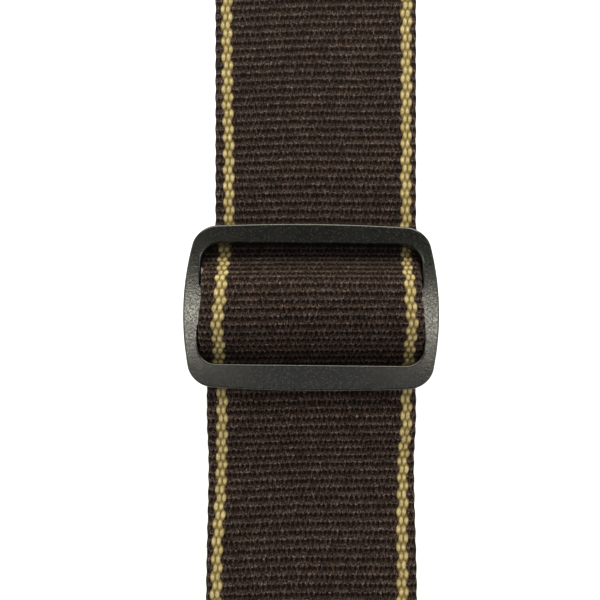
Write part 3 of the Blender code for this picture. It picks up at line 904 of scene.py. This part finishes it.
def leather(name, height, upper):
    """One leather layer of an end: cut outline, pressed stitch groove and burnished edge."""
    outlines = [[(x, y, 0) for x, y in shape] for shape in (tab_outline(), keyhole_outline())]
    data = plate(outlines, LEATHER / 2, LEATHER_ROUND)
    cut_into_cells(data)
    points = np.empty(len(data.vertices) * 3, np.float32)
    data.vertices.foreach_get("co", points)
    across, along, z = points.reshape(-1, 3).astype(float).T
    inside = gap_to_outline(across, along)
    hole = np.hypot(across, along - (TAB_LENGTH - HOLE_FROM_TIP)) - HOLE_RADIUS
    rim = np.maximum(1 - smooth(*BURNISHED_EDGE, inside), 1 - smooth(*BURNISHED_HOLE, hole))
    groove = np.exp(-(((inside - SEAM_INSET) / GROOVE_HALF) ** 2))
    outward = np.where(z > 0, 1.0, -1.0)
    seen = z > 0 if upper else z <= 0
    shaped = z + height(along) + LEATHER / 2 - np.where(seen, GROOVE_DEPTH * groove * outward, 0)
    points = np.stack([across, along, shaped], axis=1)
    data.vertices.foreach_set("co", points.astype(np.float32).ravel())
    wear = data.attributes.new("wear", "FLOAT_VECTOR", "POINT")
    facts = np.stack([rim, groove, np.zeros_like(rim)], axis=1)
    wear.data.foreach_set("vector", facts.astype(np.float32).ravel())
    data.shade_smooth()
    data.set_sharp_from_angle(angle=math.radians(55))
    return link(name, data)


def place_end(obj, origin, direction):
    """Turn and shift a piece made in a leather end's own measures (across, along) into place."""
    turned = Matrix.Diagonal((direction, direction, 1, 1))
    obj.data.transform(Matrix.Translation((0, origin + SLIDER_Y, 0)) @ turned)


def spaced(path, step):
    """Points at even steps round a closed path, a whole number of them."""
    points = np.array(path + path[:1])
    lengths = np.concatenate([[0], np.cumsum(np.linalg.norm(np.diff(points, axis=0), axis=1))])
    count = round(lengths[-1] / step)
    at = np.arange(count) * lengths[-1] / count
    return [np.array([np.interp(a, lengths, points[:, axis]) for axis in (0, 1)]) for a in at]


def stitches(name, path, height, outward=1.0, step=STITCH):
    """A row of twisted stitches along a closed path, each dipping in where the needle went through."""
    rings, sides, twists = 11, 8, 2.2
    wound = 1 if outward > 0 else -1  # so that the faces look outwards either way up
    places = spaced(path, step)
    verts, faces, twist = [], [], []
    for here, there in zip(places, places[1:] + places[:1]):
        ahead = there - here
        length = np.linalg.norm(ahead)
        ahead /= length
        beside = np.array([-ahead[1], ahead[0]])
        base = len(verts)
        for ring_number in range(rings):
            t = ring_number / (rings - 1)
            off = abs(2 * t - 1)
            rise = THREAD * (1 - 3.2 * off**5)
            thick = THREAD * (1 - 0.3 * off**4)
            middle = here + ahead * length * (0.04 + 0.92 * t)
            for side_number in range(sides):
                angle = 2 * math.pi * side_number / sides
                flat = middle + beside * thick * math.cos(angle)
                lift = outward * (rise + thick * 0.85 * math.sin(angle))
                verts.append((flat[0], flat[1], height(middle[1]) + lift))
                twist.append((side_number / sides + t * twists, t, 0))
        for ring_number in range(rings - 1):
            for side_number in range(sides):
                a = base + ring_number * sides + side_number
                b = base + ring_number * sides + (side_number + 1) % sides
                faces.append((a, b, b + sides, a + sides)[::wound])
        faces.append([base + n for n in range(sides)][::-1])
        faces.append([base + (rings - 1) * sides + n for n in range(sides)])
    data = bpy.data.meshes.new(name)
    data.from_pydata(verts, [], faces)
    mesh = bmesh.new()
    mesh.from_mesh(data)
    bmesh.ops.recalc_face_normals(mesh, faces=mesh.faces)
    mesh.to_mesh(data)
    mesh.free()
    found = data.attributes.new("twist", "FLOAT_VECTOR", "POINT")
    found.data.foreach_set("vector", np.array(twist, np.float32).ravel())
    data.shade_smooth()
    return link(name, data)


def leather_end(prefix, origin, direction, raised, body, hide, seam_thread):
    """Face and backing leather with the seam that joins them, as pieces of one body."""
    low = TAB_BASE + LEATHER + GAP

    def face(along):
        return raised + (low - raised) * smooth(*TAB_STEP, along)

    def backing(along):
        return TAB_BASE + 0 * along

    def on_face(along):
        return float(face(along)) + LEATHER - STITCH_SINK

    def under_backing(along):
        return TAB_BASE + STITCH_SINK

    seam = tab_outline(SEAM_INSET)
    face_layer = leather(f"{prefix}_end_face", face, True)
    backing_layer = leather(f"{prefix}_end_backing", backing, False)
    needle_thread = stitches(f"{prefix}_end_stitches", seam, on_face)
    bobbin_thread = stitches(f"{prefix}_end_back_stitches", seam, under_backing, -1.0)
    made = [
        (face_layer, "tab_face", "leather", hide),
        (backing_layer, "tab_backing", "leather", hide),
        (needle_thread, "tab_needle_thread", "thread", seam_thread),
        (bobbin_thread, "tab_bobbin_thread", "thread", seam_thread),
    ]
    for obj, node, slot, look in made:
        place_end(obj, origin, direction)
        obj.data.materials.append(look)
        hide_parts(f"{prefix}_{node}")
        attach(obj, body)


def ring_webbing(cloth):
    """The short strip that joins the ring to the front leather end."""
    bar = RING_Y - RING_LENGTH
    inside = FRONT_TAB_Y - TAB_OVERLAP
    mouth = FRONT_TAB_Y + 1 * MM
    path = Route([
        (inside, LEG_Z, 0),
        (mouth, LEG_Z, 0),
        (bar, RING_Z - RING_WRAP, 0),
        (bar + RING_WRAP, RING_Z, 90),
        (bar, RING_Z + RING_WRAP, 180),
        (mouth, LEG_Z + PITCH, 180),
        (inside, LEG_Z + PITCH, 180),
    ])
    obj = woven_strip("ring_webbing_cloth", path, RING_MESH, leaning=False)
    obj.data.materials.append(cloth)
    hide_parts("ring_webbing")
    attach(obj, "front_tab")


def tail_tack(dark_thread):
    """The dark stitching that holds the sewn end down behind the slider."""
    low, high = TACK_Y
    rows = [(-TACK_HALF_X, low), (TACK_HALF_X, low), (TACK_HALF_X, high), (-TACK_HALF_X, high)]
    top = level(5) + CLOTH / 2
    obj = stitches("slider_end_stitches", rows, lambda y: top, step=TACK_STITCH)
    obj.data.transform(Matrix.Translation((0, SLIDER_Y, 0)))
    obj.data.materials.append(dark_thread)
    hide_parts("slider_end_thread")
    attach(obj, "slider")


# ---------------------------------------------------------------- the strap's pieces


def press(y, side):
    """How far each margin spreads in the slider, where the cloth fills the slots from wall to wall."""
    within = smooth(*SPREAD_START, y) - smooth(*SPREAD_STOP, y)
    waist = WAIST * np.exp(-(((y - WAIST_Y) / WAIST_REACH) ** 2))
    wall = SPREAD_HALF - waist + TUCK * smooth(*TUCK_RUN, np.abs(y))
    return within * (wall - WIDTH / 2 - side * lean(y))


def near_camera(y):
    return -VIEW_HALF < y < VIEW_HALF


def fold_zone(y):
    return y < FOLD_Y_LOW + FOLD_ZONE or y > FOLD_Y_HIGH - FOLD_ZONE


def declare(obj, cloth):
    """Give a length of the main webbing its cloth, and hide the CAD part's webbing."""
    obj.data.materials.append(cloth)
    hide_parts("main_webbing")


def dress_webbing(cloth):
    """The main webbing in four lengths."""
    sewn = Route(sewn_end_knots())
    front = Route([sewn_end_knots()[-1]] + front_knots(), sewn.end)
    passes = slack_knots()
    top = Route([front_knots()[-1]] + hump_knots()[3:] + passes[0], front.end)
    slack = Route(passes[0][-1:] + sum(passes[1:], []), top.end)

    front_layer = woven_strip("webbing_front_layer", front, FINE_MESH, near_camera, bulge=press)
    top_pass = woven_strip("webbing_top_pass", top, FINE_MESH, near_camera, bulge=press)
    sewn_end = woven_strip("webbing_sewn_end", sewn, SEWN_MESH, tail=1.0, bulge=press)
    folded_slack = woven_strip("webbing_folded_slack", slack, SLACK_MESH, fold_zone)

    lengths = ((front_layer, front), (top_pass, top), (sewn_end, sewn), (folded_slack, slack))
    for obj, path in lengths:
        declare(obj, cloth)
    for obj in (front_layer, sewn_end):
        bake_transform(obj)
    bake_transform(top_pass)
    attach(folded_slack, "strap")


# ---------------------------------------------------------------- stage, light and camera


def floor():
    bpy.ops.mesh.primitive_plane_add(size=8, location=(0, 0, -0.1 * MM))
    obj = bpy.context.object
    obj.name = "floor"
    n = Nodes(bpy.data.materials.new("floor"))
    n.give(n.shader, "Base Color", (0.9, 0.9, 0.9, 1))
    n.give(n.shader, "Roughness", 0.9)
    n.give(n.shader, "Specular IOR Level", 0.1)
    n.give(n.shader, "Emission Color", (1, 1, 1, 1))
    n.give(n.shader, "Emission Strength", 0.5)
    obj.data.materials.append(n.owner)


def softbox(name, place, size, radiance):
    """A light panel that faces the slider."""
    light = bpy.data.lights.new(name, "AREA")
    light.shape = "RECTANGLE"
    light.size, light.size_y = size
    light.energy = math.pi * size[0] * size[1] * radiance
    light.color = LIGHT_COLOUR
    obj = link(name, light)
    obj.location = place
    aim = Vector((0, SLIDER_Y, 0)) - Vector(place)
    obj.rotation_euler = aim.to_track_quat("-Z", "Y").to_euler()


def studio():
    """A dim sky, brighter to the left and right, low in front, and in a band overhead.

    The camera itself sees plain white instead of it. Four softboxes are the main lights.
    """
    n = Nodes(bpy.data.worlds.new("studio"))
    bpy.context.scene.world = n.owner
    x, y, _ = n.split(n.add("TexCoord").outputs["Generated"])
    beside = n.spread(n.math("ABSOLUTE", x), 0.34, 0.5, 0.0, 1.1, "SMOOTHSTEP")
    level_with = n.spread(n.math("ABSOLUTE", y), 0.85, 0.5, 0.0, 1.0, "SMOOTHSTEP")
    near = n.spread(y, -0.7, -0.9, 0.14, 0.5, "SMOOTHSTEP")
    band_far = n.spread(y, 0.3, 0.14, 0.0, 0.6, "SMOOTHSTEP")
    band_near = n.spread(y, -0.2, 0.0, 0.0, 1.0, "SMOOTHSTEP")
    sides = n.math("MULTIPLY", beside, level_with)
    band = n.math("MULTIPLY", band_far, band_near)
    sky = n.tree.nodes["Background"]
    n.give(sky, "Color", SKY_COLOUR)
    n.give(sky, "Strength", n.math("ADD", n.math("ADD", sides, near), band))
    plain = n.add("Background", inputs={"Color": (1, 1, 1, 1)}).outputs[0]
    from_camera = n.add("LightPath").outputs["Is Camera Ray"]
    seen = n.add("MixShader", inputs={0: from_camera, 1: sky.outputs[0], 2: plain})
    n.give(n.tree.nodes["World Output"], "Surface", seen.outputs[0])
    for box in SOFTBOXES:
        softbox(*box)


def camera():
    """The view from straight above, a little to the left of the slider."""
    data = bpy.data.cameras.new("camera")
    data.lens = CAMERA_LENS
    data.sensor_width = 36
    data.clip_start = 0.005
    obj = link("camera", data)
    obj.location = CAMERA_PLACE
    bpy.context.scene.camera = obj


bpy.context.scene.view_settings.view_transform = "Standard"
camera()
studio()
floor()
cloth = webbing_material()
hide = leather_material()
seam_thread = thread_material("thread", SEAM_THREAD)
dark_thread = thread_material("dark_thread", TACK_THREAD)
dress_webbing(cloth)
slider()
ring()
ring_webbing(cloth)
tail_tack(dark_thread)
leather_end("front", FRONT_TAB_Y, -1, LEG_Z + PITCH + CLOTH / 2 + GAP, "front_tab", hide, seam_thread)
leather_end("rear", REAR_TAB_Y, 1, LEG_Z + CLOTH / 2 + GAP, "strap", hide, seam_thread)
